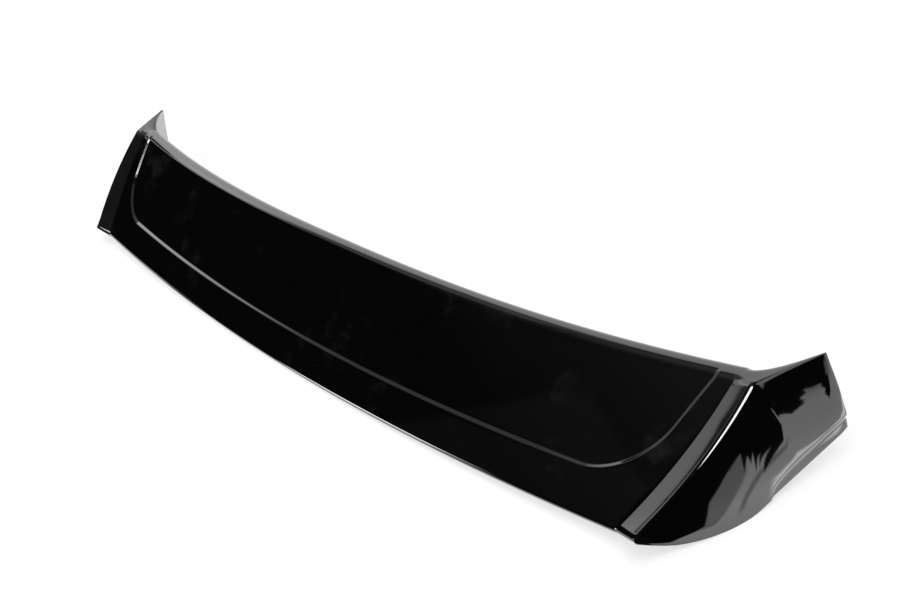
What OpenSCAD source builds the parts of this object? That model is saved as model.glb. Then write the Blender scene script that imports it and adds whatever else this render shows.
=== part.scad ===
// Rear roof spoiler for a hatchback: one thin moulded shell, open underneath.
// X runs across the car, Y forward and Z up, from the middle of the overall box's floor.
// The shell is lofted from cross-sections along the span, and offset inwards for its wall.
// Sizes are given with the straight parts of the two ears' rims level. The finished shell is
// then laid down as it comes to rest: on its rear lip and on the bends of the two rims.

/* [Overall] */
// From the rear edge's middle to the forward tips of the ears
overall_depth = 242; // [220:1:280]
// Middle of the car to the bottom front corner of an ear
half_span = 626.5; // [600:1:680]
// Thickness of the moulding
wall = 2.8; // [2:0.1:3.6]

/* [Deck] */
// Length of the deck from rear to front, along its slope
deck_chord = 146.5; // [125:1:165]
// Slope of the deck along the middle of the car
deck_slope = 18.2; // [12:0.1:24]
// Height of the deck's rear edge above the floor, at the middle
deck_rear_z = 30.7; // [26:0.1:40]
// Rise of the deck's middle above a straight line from rear to front
deck_crown = 1; // [0:0.1:4]
// How far the rear edge's ends lie ahead of its middle
rear_bow = 28.6; // [15:0.1:45]
// How far the rear edge's ends lie above its middle
rear_lift = 6; // [0:0.1:12]
// How far the front edge's ends lie ahead of its middle
front_bow = 39; // [25:0.1:50]
// How far the front edge's ends lie above its middle
front_lift = 0.7; // [0:0.1:8]

/* [Recess] */
// Depth of the sunk field in the deck
recess_depth = 2.6; // [1:0.1:4]
// Width of the sloping step round the sunk field
recess_step = 6.5; // [4:0.1:12]
// Distance of the step from the rear edge, at the middle
recess_set = 38; // [28:0.5:55]
// Extra distance of the step from the rear edge, at its corners
recess_set_gain = 3; // [0:0.5:8]
// Middle of the car to the step's side, at the deck's rear
recess_rear_x = 495; // [450:1:500]
// Middle of the car to the step's side, at the deck's front
recess_front_x = 537; // [500:1:545]
// Radius of the step's two corners
recess_corner_r = 57; // [30:1:70]

/* [Facets] */
// Middle of the car to the crease beside the deck, at the rear
crease_rear_x = 514; // [506:1:525]
// Middle of the car to the crease beside the deck, at the front
crease_front_x = 554; // [550:1:562]
// Outward bow of the crease, half way along
crease_bow = 6.8; // [0:0.1:10]
// Middle of the car to the ridge above the ear, at the rear
ridge_rear_x = 542.4; // [535:0.1:555]
// Middle of the car to the ridge above the ear, at the front
ridge_front_x = 576.4; // [570:0.1:590]
// Outward bow of the ridge, half way along
ridge_bow = 8.8; // [0:0.1:12]
// Rise of the ridge above the deck, at the rear
ridge_rear_rise = 11; // [6:0.1:16]
// Rise of the ridge above the deck, at the front
ridge_front_rise = 6.8; // [3:0.1:12]
// How far the ridge's rear end reaches behind the deck's rear edge
ridge_sweep = 5; // [0:0.1:10]
// Setback of the rounding along the ridge
ridge_round = 5; // [2:0.1:8]

/* [Edges] */
// Radius of the rear lip
lip_r = 4; // [3.4:0.1:5]
// Height of the rear lip, from the deck to its lower edge
lip_h = 6.2; // [5.4:0.1:12]
// Radius of the rolled front edge
roll_r = 17; // [12:0.1:20]
// Angle through which the front edge turns down
roll_turn = 100; // [85:1:106]
// Depth of the flange under the rolled front edge
flange_h = 7; // [4:0.1:14]

/* [Ears] */
// Middle of the car to the forward tip of an ear
tip_x = 603; // [596:1:615]
// Height of the ear's forward tip
tip_z = 61; // [52:1:72]
// How far the bottom front corner lies behind the tip
corner_setback = 31.3; // [20:0.1:45]
// Slope in plan of the straight part of the rim, as width over length
rim_flare = 0.285; // [0.2:0.005:0.35]
// Length of the straight part of the rim, which rests on the floor
rim_straight = 101; // [90:1:110]
// Middle of the car to the rim's rear end, under the lip
rim_rear_x = 543.3; // [538:0.1:552]
// Height of the rim's rear end
rim_rear_z = 43.8; // [40:0.1:50]
// Part of that height which the rim gains in its last few centimetres
rim_kick = 16; // [8:0.1:22]
// Outward bulge of the ear's side between the ridge and the rim
ear_bulge = 2.5; // [0:0.1:6]
// How far the ear's front edge curls inwards
front_curl = 1.2; // [0:0.1:2.5]
// Height of the stepped band along the rim
band_h = 11.5; // [8:0.5:20]
// Depth of the stepped band
band_depth = 1.8; // [0.6:0.1:2.4]
// Width of the band's soft step
band_step = 4.5; // [3:0.1:8]
// Distance of the band's rear end from the front corner
band_length = 86; // [70:1:98]
// Length over which the band rises to its full height
band_run = 40; // [25:1:60]

/* [Hidden] */

rear_y = -overall_depth / 2;
tip_y = overall_depth / 2;
deck_rear_y = rear_y + lip_r * (1 - sin(deck_slope));
rim_front_y = tip_y - corner_setback;
rim_bend_y = rim_front_y - rim_straight;
rim_rear_y = deck_rear_y + rear_bow - lip_r;
rim_bend_x = half_span - rim_flare * rim_straight;

// Powers of the curves: bow of the front edge, blend of the roll into the ear's straight
// upper edge, slow and quick rise of the rim, and spread of the ear's lines along the rim
bow_power = 2.5;
blend_power = 1.5;
rise_power = 1.5;
kick_power = 8;
spread_power = 0.85;
// Setback of the rim's point under the ridge's front end, as a share of the corner's setback
under_share = 0.9;
// Largest share of a facet or side that the ridge's rounding takes
round_share = 0.9;
// Share of the ridge's rounding that is left at the tip
tip_round = 0.3;
// Share of the ear's front run over which its edge curls in
curl_share = 0.2;
// Share of the roll over which the recess fades out
recess_fade = 0.45;

// Grid lines across the deck, as shares of each zone
field_lines = [0, 0.18, 0.36, 0.53, 0.69, 0.83, 0.94];
corner_lines = [0, 0.12, 0.23, 0.34, 0.45, 0.55, 0.65, 0.75, 0.84, 0.92];
step_lines = [-1, -0.4, 0, 0.4, 1];
facet_lines = [0, 0.2, 0.4, 0.6, 0.78];
// Grid lines from the lip to the flange
arc_count = 5;
drop_count = 3;
strip_lines = [0, 0.4, 0.75];
beside_lines = [0.33, 0.67];
far_lines = [0.22, 0.46, 0.73, 1];
turn_count = 9;
flange_count = 1;

function lerp(a, b, t) = a + (b - a) * t;
function clamp(t) = min(1, max(0, t));
function smooth(t) = let (c = clamp(t)) c * c * (3 - 2 * c);
function unit(v) = v / max(norm(v), 1e-9);
function bezier(a, b, c, t) = a * pow(1 - t, 2) + b * 2 * t * (1 - t) + c * t * t;

// Rear and front edges of the deck, before the facets lift it
function deck_rear(x) = [
    x,
    deck_rear_y + rear_bow * pow(x / crease_rear_x, 2),
    deck_rear_z + rear_lift * pow(x / crease_rear_x, 2)
];
function deck_front(x) = [
    x,
    deck_rear_y + deck_chord * cos(deck_slope) + front_bow * pow(x / crease_front_x, bow_power),
    deck_rear_z + deck_chord * sin(deck_slope) + front_lift * pow(x / crease_front_x, 2)
];
function slope_at(x) =
    let (d = deck_front(x) - deck_rear(x))
    atan2(d.z, d.y);
function chord_at(x) = norm(deck_front(x) - deck_rear(x));

// Lines that run from the rear edge to the front edge, at the share s of the chord
function crease_x(s) = lerp(crease_rear_x, crease_front_x, s) + crease_bow * 4 * s * (1 - s);
function ridge_x(s) = lerp(ridge_rear_x, ridge_front_x, s) + ridge_bow * 4 * s * (1 - s);
function side_x(s) = lerp(recess_rear_x, recess_front_x, s);
function step_share(x) =
    (recess_set + recess_set_gain * pow(x / recess_rear_x, 2)) / chord_at(x);

// Depth of the recess at x and s: its outline has two straight runs and a round corner
function recess_at(x, s) =
    let (
        side = side_x(s) - x,
        back = (s - step_share(x)) * chord_at(x),
        r = recess_corner_r,
        out_side = max(r - side, 0),
        out_back = max(r - back, 0),
        rounded = r - norm([out_side, out_back]),
        inside = side < r && back < r ? rounded : min(side, back)
    )
    recess_depth * smooth((inside + recess_step / 2) / recess_step);

// Grid point bent round the recess's corner, so that the lines follow the step's arc
function bent(x, s) =
    let (
        r = recess_corner_r,
        chord = chord_at(x),
        set = step_share(x) * chord,
        across = 1 - (side_x(s) - x) / r,
        back = 1 - (s * chord - set) / r
    )
    across <= 0 || back <= 0 ? [x, s]
    : let (
        ring = max(across, back),
        along = min(across, back) / ring,
        major = ring * sqrt(1 - along * along / 2),
        minor = ring * along / sqrt(2),
        arc = across > back ? [major, minor] : [minor, major],
        step_ring = 1 + recess_step / 2 / r,
        crease_ring = 1 + (crease_x(s) - side_x(s)) / r,
        rear_ring = 1 + set / r,
        hold = clamp((crease_ring - across) / (crease_ring - step_ring))
            * clamp((rear_ring - back) / (rear_ring - step_ring)),
        place = lerp([across, back], arc, hold),
        bent_s = (set + (1 - place.y) * r) / chord
    )
    [side_x(bent_s) - (1 - place.x) * r, bent_s];

// Point of the deck or facet; the share f runs from the crease to the ridge
function deck_base(x, s, f) =
    lerp(deck_rear(x), deck_front(x), s)
    + [0, 0, deck_crown * 4 * s * (1 - s)]
    + f * [0, -ridge_sweep * pow(1 - s, 2), lerp(ridge_rear_rise, ridge_front_rise, s)];
function deck_normal(x, turn) = let (a = slope_at(x) + turn) [0, -sin(a), cos(a)];

// Sideways place of grid line i at the share s, and its share f of the facet
deck_count = len(field_lines) + len(corner_lines) + len(step_lines) + len(beside_lines);
facet_count = len(facet_lines);
function deck_line_x(i, s) =
    let (
        half_step = recess_step / 2,
        inner = side_x(s) - half_step - recess_corner_r,
        a = len(field_lines),
        b = a + len(corner_lines),
        c = b + len(step_lines)
    )
    i < a ? inner * field_lines[i]
    : i < b ? inner + recess_corner_r * corner_lines[i - a]
    : i < c ? side_x(s) + half_step * step_lines[i - b]
    : lerp(side_x(s) + half_step, crease_x(s), beside_lines[i - c]);
function line_f(i) = i < deck_count ? 0 : facet_lines[i - deck_count];
function line_x(i, s) =
    i < deck_count ? deck_line_x(i, s) : lerp(crease_x(s), ridge_x(s), line_f(i));

// Share s of the chord for grid line j of the deck
strip_count = len(strip_lines);
band_count = strip_count + len(step_lines);
ring_count = band_count + len(corner_lines) - 1;
deck_rows = ring_count + len(far_lines);
function row_s(j, x) =
    let (
        length = chord_at(x),
        mid = step_share(x),
        half_step = recess_step / 2 / length,
        start = mid + half_step,
        reach = recess_corner_r / length
    )
    j < strip_count ? (mid - half_step) * strip_lines[j]
    : j < band_count ? mid + half_step * step_lines[j - strip_count]
    : j < ring_count ? start + reach * corner_lines[j - band_count + 1]
    : lerp(start + reach * corner_lines[len(corner_lines) - 1], 1, far_lines[j - ring_count]);

// Rear lip: an arc under the deck's rear edge and a short drop
lip_count = arc_count + drop_count;
function lip_offset(x, k) =
    let (
        slope = slope_at(x),
        turn = (90 - slope) * min(k, arc_count) / arc_count,
        bottom = lip_h - lip_r * cos(slope),
        drop = bottom * max(k - arc_count, 0) / drop_count,
        from_centre = lip_r * [0, -sin(slope + turn), cos(slope + turn)]
    )
    from_centre - lip_r * deck_normal(x, 0) - [0, 0, drop];

// Rolled front edge: an arc and a short flange, for the share w from 0 to 1
roll_count = turn_count + flange_count;
function roll_offset(x, k) =
    let (
        turn = roll_turn * min(k, turn_count) / turn_count,
        normal = deck_normal(x, -turn),
        along = [0, normal.z, -normal.y],
        flange = flange_h * max(k - turn_count, 0) / flange_count
    )
    roll_r * (normal - deck_normal(x, 0)) + flange * along;

// Straight upper edge of the ear, from the ridge's front end to the tip
ridge_end = deck_base(ridge_front_x, 1, 1);
tip = [tip_x, tip_y, tip_z];
function brow_offset(k) = (tip - ridge_end) * k / roll_count;

// Point on grid line i and row j; rows run from the lip's edge to the flange's edge
first_deck_row = lip_count;
first_roll_row = lip_count + deck_rows - 1;
last_row = first_roll_row + roll_count;
function line_point(i, j) =
    let (
        lip_row = max(first_deck_row - j, 0),
        roll_row = max(j - first_roll_row, 0),
        deck_row = min(max(j - first_deck_row, 0), deck_rows - 1),
        plain_s = row_s(deck_row, line_x(i, 0.5)),
        place = bent(line_x(i, plain_s), plain_s),
        x = place.x,
        s = place.y,
        f = line_f(i),
        base = deck_base(x, s, f)
    )
    lip_row > 0 ? base + lip_offset(x, lip_row)
    : roll_row > 0 ? roll_point(base, x, f, roll_row)
    : base - recess_at(x, s) * deck_normal(x, 0);
function roll_point(base, x, f, k) =
    let (
        turn = roll_turn * min(k, turn_count) / turn_count,
        fade = 1 - smooth(k / roll_count / recess_fade)
    )
    base
    + pow(1 - f, blend_power) * roll_offset(x, k)
    + pow(f, blend_power) * brow_offset(k)
    - fade * recess_at(x, 1) * deck_normal(x, -turn);

// Ridge point in row j, sharp, before it is rounded
function ridge_s(j) =
    row_s(min(max(j - first_deck_row, 0), deck_rows - 1), ridge_x(0.5));
function ridge_point(j) =
    let (
        lip_row = max(first_deck_row - j, 0),
        roll_row = max(j - first_roll_row, 0),
        x = ridge_x(ridge_s(j)),
        s = ridge_s(j),
        base = deck_base(x, s, 1)
    )
    lip_row > 0 ? base + lip_offset(x, lip_row) : base + brow_offset(roll_row);

// Rim of the ear, by its place y: straight on the floor, then bending up to the lip
function rim_at(y) =
    let (
        back = max(rim_bend_y - y, 0),
        run = rim_bend_y - rim_rear_y,
        share = back / run,
        bend = rim_bend_x - rim_rear_x - rim_flare * run,
        slow = (rim_rear_z - rim_kick) * pow(share, rise_power),
        quick = rim_kick * pow(share, kick_power)
    )
    [rim_bend_x + rim_flare * (y - rim_bend_y) - bend * share * share, y, slow + quick];
function rim_y(j) =
    let (
        roll_share = (j - first_roll_row) / roll_count,
        under_ridge = ridge_end.y - corner_setback * under_share
    )
    j <= first_roll_row
    ? lerp(rim_rear_y, under_ridge, pow(ridge_s(j), spread_power))
    : lerp(under_ridge, rim_front_y, roll_share);

// Ear side between the ridge and the rim, with the stepped band low on it
function band_top(y) =
    let (t = clamp((y - (rim_front_y - band_length)) / band_run))
    band_h * sqrt(1 - pow(1 - t, 2));
function ear_point(j, e) =
    let (
        top = ridge_point(j),
        foot = rim_at(rim_y(j)),
        height = norm(top - foot),
        flat = lerp(top, foot, e),
        fade = smooth(ridge_s(j)),
        front = clamp(1 - (1 - (j - first_roll_row) / roll_count) / curl_share),
        line = band_top(flat.y),
        over = line - (1 - e) * height,
        sunk = band_depth * smooth(line / band_step) * smooth(over / band_step + 0.5)
    )
    flat + [ear_bulge * 4 * e * (1 - e) * fade - sunk - front_curl * front * front, 0, 0];
ear_lines = [0.18, 0.38, 0.58, 0.73, 0.81, 0.88, 1];

// Rounded ridge: a curve tangent to the facet and to the ear's side
function facet_edge(j) = line_point(deck_count + facet_count - 1, j);
function round_point(j, t) =
    let (
        top = ridge_point(j),
        inward = facet_edge(j) - top,
        down = ear_point(j, ear_lines[0]) - top,
        left = lerp(1, tip_round, clamp((j - first_roll_row) / roll_count)),
        a = left * min(ridge_round, norm(inward) * round_share),
        b = left * min(ridge_round, norm(down) * round_share)
    )
    bezier(top + a * unit(inward), top, top + b * unit(down), t);

// Columns of the half shell: deck and facet lines, then the rounding up to its middle
column_count = deck_count + facet_count + 2;
function column(i) =
    i < deck_count + facet_count
    ? [for (j = [0 : last_row]) line_point(i, j)]
    : [for (j = [0 : last_row]) ridge_column_point(i - deck_count - facet_count, j)];
function ridge_column_point(k, j) =
    j < first_deck_row
    ? lerp(facet_edge(j), ridge_point(j), k == 0 ? 0.6 : 1)
    : round_point(j, k == 0 ? 0 : 0.5);

// The ear's rear end runs down the lip's profile, so its lines are as many as the lip's rows
ear_count = lip_count;
function ear_line_point(k, j) =
    k == 1 ? round_point(j, 1)
    : ear_point(j, ear_lines[k - 2]);

deck_points = [for (i = [0 : column_count - 1]) column(i)];
ear_points = [
    for (k = [1 : ear_count]) [for (j = [first_deck_row + 1 : last_row]) ear_line_point(k, j)]
];
rows = last_row + 1;
ear_rows = last_row - first_deck_row;
last_column = column_count - 1;
outer = [
    for (c = deck_points) each c,
    for (k = ear_points) each k
];
half_count = len(outer);

// Index of a point of the half shell by its line and row
function deck_id(i, j) = i * rows + j;
function ear_id(k, j) =
    k == 0 ? deck_id(last_column, j)
    : j == first_deck_row ? deck_id(last_column, first_deck_row - k)
    : column_count * rows + (k - 1) * ear_rows + j - first_deck_row - 1;

// Outward direction at a point, from its four neighbours
function mirrored(p) = [-p.x, p.y, p.z];
function across(before, after, behind, ahead) = unit(cross(after - before, ahead - behind));
function deck_out(i, j) =
    let (
        before = i == 0 ? mirrored(outer[deck_id(1, j)]) : outer[deck_id(i - 1, j)],
        after = i < last_column ? outer[deck_id(i + 1, j)]
            : j >= first_deck_row ? outer[ear_id(1, max(j, first_deck_row + 1))]
            : outer[ear_id(first_deck_row - j, first_deck_row + 1)],
        behind = outer[deck_id(i, max(j - 1, 0))],
        ahead = outer[deck_id(i, min(j + 1, last_row))]
    )
    across(before, after, behind, ahead);
function ear_out(k, j) =
    across(
        outer[ear_id(k - 1, j)],
        outer[ear_id(min(k + 1, ear_count), j)],
        outer[ear_id(k, j - 1)],
        outer[ear_id(k, min(j + 1, last_row))]
    );
function level(v) = unit([v.x, v.y, 0]);
out_dirs = [
    for (i = [0 : last_column]) for (j = [0 : last_row]) deck_out(i, j),
    for (k = [1 : ear_count]) for (j = [first_deck_row + 1 : last_row])
        k == ear_count ? level(ear_out(k, j)) : ear_out(k, j)
];
inner = [for (n = [0 : half_count - 1]) outer[n] - wall * out_dirs[n]];

// Lying at rest: tilted until the lowest point of the rims is level with the lip's middle
lip_foot = outer[deck_id(0, 0)];
rest_tilt = -min([
    for (j = [first_deck_row + 1 : last_row])
        let (p = outer[ear_id(ear_count, j)]) atan2(p.z - lip_foot.z, p.y - lip_foot.y)
]);
function tilted(p) = [
    p.x,
    p.y * cos(rest_tilt) - p.z * sin(rest_tilt),
    p.y * sin(rest_tilt) + p.z * cos(rest_tilt)
];
tilted_points = [for (p = concat(outer, inner)) tilted(p)];
rear_end = min([for (p = tilted_points) p.y]);
front_end = max([for (p = tilted_points) p.y]);
floor_z = min([for (p = tilted_points) p.z]);
half_points = [for (p = tilted_points) p - [0, (rear_end + front_end) / 2, floor_z]];

// The other half is the mirror image; the middle column is shared
function mirror_id(n) = n % half_count < rows ? n : n + 2 * half_count;
all_points = concat(half_points, [for (p = half_points) mirrored(p)]);

// Two triangles for each cell, wound so that they face outwards
function cell(a, b, c, d) = [[a, c, b], [a, d, c]];
function skin_cells(lift) = [
    for (i = [0 : last_column - 1]) for (j = [0 : last_row - 1])
        each cell(deck_id(i, j) + lift, deck_id(i + 1, j) + lift,
                  deck_id(i + 1, j + 1) + lift, deck_id(i, j + 1) + lift),
    for (k = [0 : ear_count - 1]) for (j = [first_deck_row : last_row - 1])
        each cell(ear_id(k, j) + lift, ear_id(k + 1, j) + lift,
                  ear_id(k + 1, j + 1) + lift, ear_id(k, j + 1) + lift)
];
function flipped(faces) = [for (f = faces) [f[0], f[2], f[1]]];
edge_loop = concat(
    [for (i = [0 : last_column]) deck_id(i, 0)],
    [for (j = [first_deck_row + 1 : last_row]) ear_id(ear_count, j)],
    [for (k = [ear_count - 1 : -1 : 1]) ear_id(k, last_row)],
    [for (i = [last_column : -1 : 0]) deck_id(i, last_row)]
);
edge_cells = [
    for (n = [0 : len(edge_loop) - 2])
        each cell(edge_loop[n], edge_loop[n] + half_count,
                  edge_loop[n + 1] + half_count, edge_loop[n + 1])
];
half_faces = concat(skin_cells(0), flipped(skin_cells(half_count)), edge_cells);
mirrored_faces = [for (f = flipped(half_faces)) [for (n = f) mirror_id(n)]];

module spoiler_shell() {
    color([0.012, 0.012, 0.014])
        polyhedron(points = all_points, faces = concat(half_faces, mirrored_faces), convexity = 10);
}

spoiler_shell();
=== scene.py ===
import math

import bmesh
import bpy
from bpy.props import FloatProperty, FloatVectorProperty, PointerProperty
from mathutils import Matrix, Vector


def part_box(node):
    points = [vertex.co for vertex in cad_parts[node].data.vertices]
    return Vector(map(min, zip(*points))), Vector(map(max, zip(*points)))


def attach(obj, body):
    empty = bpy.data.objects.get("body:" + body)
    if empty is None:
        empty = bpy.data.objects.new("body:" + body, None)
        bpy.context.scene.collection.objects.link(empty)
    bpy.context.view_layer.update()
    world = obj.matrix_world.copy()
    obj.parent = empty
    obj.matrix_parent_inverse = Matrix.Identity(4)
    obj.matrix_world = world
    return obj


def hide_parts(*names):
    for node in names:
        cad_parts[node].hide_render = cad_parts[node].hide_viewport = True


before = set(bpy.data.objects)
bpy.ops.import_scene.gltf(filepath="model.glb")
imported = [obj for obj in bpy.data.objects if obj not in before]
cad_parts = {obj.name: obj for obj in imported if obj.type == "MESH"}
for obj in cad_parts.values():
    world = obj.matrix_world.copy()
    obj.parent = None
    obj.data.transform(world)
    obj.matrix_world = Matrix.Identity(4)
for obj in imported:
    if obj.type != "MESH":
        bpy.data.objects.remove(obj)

bl_info = {
    "name": "Roof spoiler",
    "version": (1, 0, 0),
    "blender": (4, 5, 0),
    "location": "View3D > Sidebar > Spoiler",
    "description": "Builds the looks of a gloss black roof spoiler on its packed frame",
    "category": "Object",
}

SHELL_NODE = "spoiler_shell"
UP = Vector((0.0, 0.0, 1.0))
WHITE = (1.0, 1.0, 1.0, 1.0)
DEGREE = 180.0 / math.pi


def size(name, description, default, low=0.0):
    return FloatProperty(
        name=name,
        description=description,
        default=default,
        min=low,
        unit="LENGTH",
        subtype="DISTANCE",
        precision=4,
    )


def turn(name, description, degrees):
    return FloatProperty(
        name=name,
        description=description,
        default=math.radians(degrees),
        unit="ROTATION",
        subtype="ANGLE",
    )


def share(name, description, default, high=1.0):
    return FloatProperty(
        name=name, description=description, default=default, min=0.0, max=high
    )


def tint(name, description, default):
    return FloatVectorProperty(
        name=name,
        description=description,
        default=default,
        size=3,
        min=0.0,
        max=1.0,
        subtype="COLOR",
    )


class OverallSizes(bpy.types.PropertyGroup):
    """Sizes of the whole moulding"""

    depth: size("Depth", "From the rear edge's middle to the ears' forward tips", 0.242)
    half_span: size("Half span", "Middle of the car to an ear's bottom front corner", 0.6265)
    wall: size("Wall", "Thickness of the moulding", 0.0028)
    edge_round: size("Edge rounding", "Width of the rounding on the free edges", 0.0006)


class DeckSizes(bpy.types.PropertyGroup):
    """Sizes of the sloping deck"""

    chord: size("Chord", "Length of the deck along its slope", 0.1465)
    slope: turn("Slope", "Slope of the deck along the middle of the car", 18.2)
    rear_z: size("Rear height", "Height of the rear edge above the rims", 0.0307)
    crown: size("Crown", "Rise of the deck's middle above a straight line", 0.001)
    rear_bow: size("Rear bow", "How far the rear edge's ends lie ahead of its middle", 0.0286)
    rear_lift: size("Rear lift", "How far the rear edge's ends lie above its middle", 0.006)
    front_bow: size("Front bow", "How far the front edge's ends lie ahead of its middle", 0.039)
    front_lift: size("Front lift", "How far the front edge's ends lie above its middle", 0.0007)


class RecessSizes(bpy.types.PropertyGroup):
    """Sizes of the sunk centre field"""

    depth: size("Depth", "Depth of the sunk field", 0.0021)
    step: size("Step width", "Width of the sloping step round the field", 0.005)
    setback: size("Setback", "Distance of the step from the rear edge", 0.038)
    setback_gain: size("Setback gain", "Extra distance of the step at its corners", 0.003)
    rear_x: size("Rear half width", "Middle of the car to the step's side at the rear", 0.495)
    front_x: size("Front half width", "Middle of the car to the step's side in front", 0.537)
    corner_r: size("Corner radius", "Radius of the step's two corners", 0.057)


class FacetSizes(bpy.types.PropertyGroup):
    """Sizes of the outer facets and of the ridges above the ears"""

    crease_rear_x: size("Crease, rear", "Middle of the car to the crease at the rear", 0.514)
    crease_front_x: size("Crease, front", "Middle of the car to the crease in front", 0.554)
    crease_bow: size("Crease bow", "Outward bow of the crease", 0.0068)
    ridge_rear_x: size("Ridge, rear", "Middle of the car to the ridge at the rear", 0.5424)
    ridge_front_x: size("Ridge, front", "Middle of the car to the ridge in front", 0.5764)
    ridge_bow: size("Ridge bow", "Outward bow of the ridge", 0.0088)
    rear_rise: size("Rear rise", "Rise of the ridge above the deck at the rear", 0.011)
    front_rise: size("Front rise", "Rise of the ridge above the deck in front", 0.0068)
    sweep: size("Sweep", "How far the ridge's rear end reaches back", 0.005)
    rounding: size("Ridge rounding", "Setback of the rounding along the ridge", 0.005)


class EdgeSizes(bpy.types.PropertyGroup):
    """Sizes of the rear lip and of the rolled front edge"""

    lip_r: size("Lip radius", "Radius of the rear lip", 0.004)
    lip_h: size("Lip height", "From the deck to the lip's lower edge", 0.0062)
    roll_r: size("Roll radius", "Radius of the rolled front edge", 0.017)
    roll_turn: turn("Roll turn", "Angle through which the front edge turns down", 100.0)
    flange: size("Flange", "Depth of the flange under the rolled edge", 0.007)


class EarSizes(bpy.types.PropertyGroup):
    """Sizes of the two ears"""

    tip_x: size("Tip, sideways", "Middle of the car to an ear's forward tip", 0.603)
    tip_z: size("Tip height", "Height of the forward tip above the rims", 0.061)
    corner_setback: size("Corner setback", "How far the bottom corner lies behind the tip", 0.0313)
    flare: share("Rim flare", "Slope in plan of the rim's straight part", 0.285)
    straight: size("Rim straight", "Length of the rim's straight part", 0.101)
    rear_x: size("Rim end, sideways", "Middle of the car to the rim's rear end", 0.5433)
    rear_z: size("Rim end height", "Height of the rim's rear end", 0.0438)
    kick: size("Rim kick", "Part of that height gained in the last few centimetres", 0.016)
    bulge: size("Bulge", "Outward bulge of the ear's side", 0.0025)
    front_curl: size("Front curl", "How far the ear's front edge curls inwards", 0.0012)
    band_h: size("Band height", "Height of the stepped band along the rim", 0.0115)
    band_depth: size("Band depth", "Depth of the stepped band", 0.0018)
    band_step: size("Band step", "Width of the band's soft step", 0.0045)
    band_length: size("Band length", "Distance of the band's rear end from the corner", 0.086)
    band_run: size("Band run", "Length over which the band rises to its height", 0.04)


class PaintSettings(bpy.types.PropertyGroup):
    """Colours and finish of the moulding"""

    black: tint("Black", "Colour of the gloss paint", (0.001, 0.001, 0.0011))
    dust: tint("Dust", "Colour of the dust on the paint", (0.20, 0.20, 0.19))
    inside: tint("Inside", "Colour of the unpainted inner face", (0.62, 0.63, 0.64))
    gloss: share("Gloss roughness", "Roughness of the clean paint", 0.045)
    peel: size("Orange peel", "Depth of the paint's faint waves", 0.000004)
    peel_width: size("Peel width", "Width of the paint's faint waves", 0.0024)
    speck_width: size("Speck spacing", "Spacing of the dust specks", 0.006)


class StageSettings(bpy.types.PropertyGroup):
    """Camera, floor and studio"""

    camera_place: FloatVectorProperty(
        name="Camera place",
        description="Where the camera stands",
        default=(1.0342, -0.3934, 0.7769),
        size=3,
        unit="LENGTH",
        subtype="TRANSLATION",
    )
    camera_look: FloatVectorProperty(
        name="Camera look",
        description="Direction in which the camera looks",
        default=(-0.7043, 0.3589, -0.6125),
        size=3,
        subtype="DIRECTION",
    )
    camera_up: FloatVectorProperty(
        name="Camera up",
        description="Direction that is up in the picture",
        default=(-0.2927, 0.6391, 0.7112),
        size=3,
        subtype="DIRECTION",
    )
    lens: FloatProperty(
        name="Lens",
        description="Focal length for a sensor 36 mm wide, in millimetres",
        default=42.89,
        min=10.0,
        unit="CAMERA",
    )
    floor: tint("Floor", "Colour of the studio floor", (0.86, 0.86, 0.86))
    floor_size: size("Floor size", "Length of the floor's side", 14.0)
    air_light: share("Air light", "Strength of the plain light from all round", 0.75, 4.0)
    wall_light: share("Wall light", "Strength of the white wall ahead", 1.0, 8.0)
    side_light: share("Side light", "Strength of the wall's left part", 1.0, 8.0)
    sweep_light: share("Sweep light", "Strength of the white sweep in the gloss", 1.0, 8.0)
    strip_light: share("Strip light", "Strength of the narrow strip on the left", 1.0, 8.0)
    overhead_light: share("Overhead light", "Strength of the light overhead", 14.0, 30.0)
    room_light: share("Room light", "Light of the dark room in the gloss", 0.003)


class SpoilerSettings(bpy.types.PropertyGroup):
    """All the settings of the roof spoiler"""

    overall: PointerProperty(type=OverallSizes)
    deck: PointerProperty(type=DeckSizes)
    recess: PointerProperty(type=RecessSizes)
    facet: PointerProperty(type=FacetSizes)
    edge: PointerProperty(type=EdgeSizes)
    ear: PointerProperty(type=EarSizes)
    paint: PointerProperty(type=PaintSettings)
    stage: PointerProperty(type=StageSettings)


def lerp(a, b, t):
    return a + (b - a) * t


def clamp(t):
    return min(1.0, max(0.0, t))


def smooth(t):
    t = clamp(t)
    return t * t * (3.0 - 2.0 * t)


def arch(t):
    """0 at both ends and 1 in the middle."""
    return 4.0 * t * (1.0 - t)


def steps(count, first=0.0, last=1.0, closed=False):
    """Even steps from first to last; the last itself only if closed."""
    return [lerp(first, last, n / count) for n in range(count + (1 if closed else 0))]


class Row:
    """A line that runs across the car: its zone of the skin and its place in that zone."""

    def __init__(self, zone, place):
        self.zone = zone
        self.place = place


BOW_POWER = 2.5
BLEND_POWER = 1.5
RISE_POWER = 1.5
KICK_POWER = 8.0
SPREAD_POWER = 0.85
UNDER_SHARE = 0.9
ROUND_SHARE = 0.9
TIP_ROUND = 0.3
CURL_SHARE = 0.2
RECESS_FADE = 0.45
FILL_SHARE = 0.6
FILL_POWER = 5.0
ARC_SHARE = 0.8
TURN_SHARE = 0.9
FACET_END = 0.78
EAR_START = 0.18
EAR_MIDDLE = 0.68
REAR_BLEND = 0.1
FIRST_EDGE_STEP = 0.2
MERGE = 2e-6
RIM_NEAR = 1e-7
FIT_INSIDE_CAD = (1.0, 0.9999, 0.9959)
SHARP_ANGLE = math.radians(55)

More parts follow.
